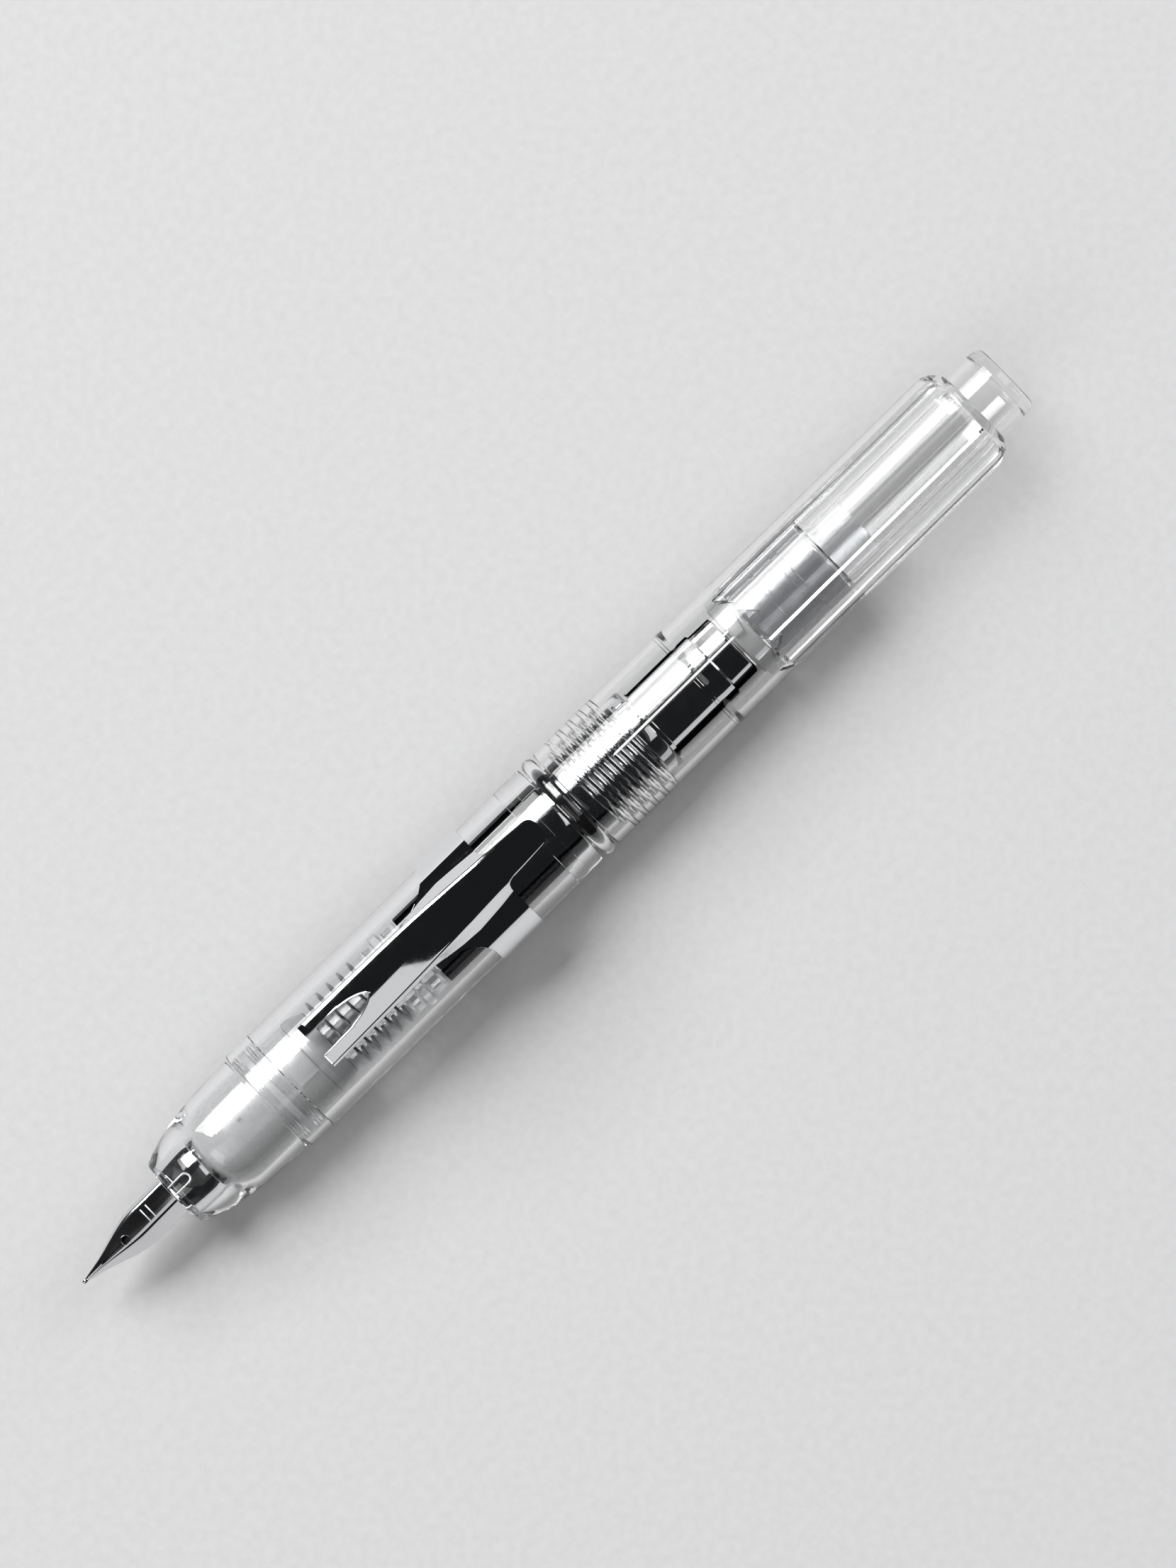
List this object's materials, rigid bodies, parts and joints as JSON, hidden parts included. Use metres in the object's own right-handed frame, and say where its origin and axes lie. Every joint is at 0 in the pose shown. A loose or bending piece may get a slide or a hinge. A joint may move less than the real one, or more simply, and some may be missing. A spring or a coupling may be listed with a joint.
{
  "type": "retractable fountain pen",
  "caption": "Clear-barrelled retractable fountain pen with a push button, sprung clip, screw-apart barrel and a nib carriage that slides behind a sealed mouth.",
  "frame": {"origin": "on the table, under the middle of the pen's length", "axes": "pen along X with the nib towards -X and the push button towards +X; clip up, +Z"},
  "size_m": [0.1466, 0.015, 0.0162],
  "materials": {
    "clear_resin": "clear polished acrylic",
    "milky_resin": "frosted translucent resin",
    "smoke_resin": "smoke-grey translucent resin",
    "grey_resin": "satin grey moulding",
    "black_resin": "satin black moulding",
    "chrome": "mirror polished",
    "nib_steel": "polished stainless steel",
    "spring_steel": "drawn wire",
    "rubber": "soft matt elastomer"
  },
  "bodies": {
    "front": {"front_barrel": "clear_resin", "nose_cone": "clear_resin", "mouth_ring": "chrome", "nib_tunnel": "chrome", "seal_chamber": "milky_resin", "seal_gasket": "rubber", "nose_oring": "rubber", "spring_seat": "grey_resin", "clip_band": "chrome", "return_spring": "spring_steel", "shutter_pin": "nib_steel"},
    "clip_arm": {"clip_arm": "chrome"},
    "shutter": {"shutter_lid": "grey_resin"},
    "carriage": {"nib": "nib_steel", "nib_pellet": "nib_steel", "feed": "black_resin", "nib_holder": "smoke_resin", "carriage_collar": "clear_resin", "piercing_tube": "grey_resin", "inner_tube": "chrome", "tube_tail": "chrome", "ink_cartridge": "milky_resin"},
    "ring": {"centre_ring": "clear_resin"},
    "rear": {"rear_barrel": "clear_resin"},
    "knock": {"knock_button": "clear_resin", "cam_sleeve": "smoke_resin", "rotor": "grey_resin", "push_core": "clear_resin"}
  },
  "joints": [
    {"name": "knock_slide", "type": "slide", "parent": "rear", "child": "knock", "axis": [1, 0, 0], "range_m": [-0.0015, 0.0205]},
    {"name": "nib_slide", "type": "slide", "parent": "front", "child": "carriage", "axis": [1, 0, 0], "range_m": [-0.00151, 0.02051], "deforming": ["return_spring"]},
    {"name": "barrel_turn", "type": "hinge", "parent": "front", "child": "ring", "pos_m": [0.00375, 0, 0.00715], "axis": [1, 0, 0], "range_deg": [0, 2160]},
    {"name": "barrel_travel", "type": "slide", "parent": "ring", "child": "rear", "axis": [1, 0, 0], "range_m": [0, 0.00961]},
    {"name": "clip_lift", "type": "hinge", "parent": "front", "child": "clip_arm", "pos_m": [-0.0137, 0, 0.01437], "axis": [0, 1, 0], "range_deg": [0, 4], "stiffness_Nm_per_rad": 0.3},
    {"name": "shutter_hinge", "type": "hinge", "parent": "front", "child": "shutter", "pos_m": [-0.0502, 0, 0.00355], "axis": [0, -1, 0], "range_deg": [0, 4]}
  ],
  "couplings": [
    {"joint": "nib_slide", "follows": "knock_slide", "ratio": 1},
    {"joint": "barrel_travel", "follows": "barrel_turn", "m_per_rad": 0.00025465}
  ]
}
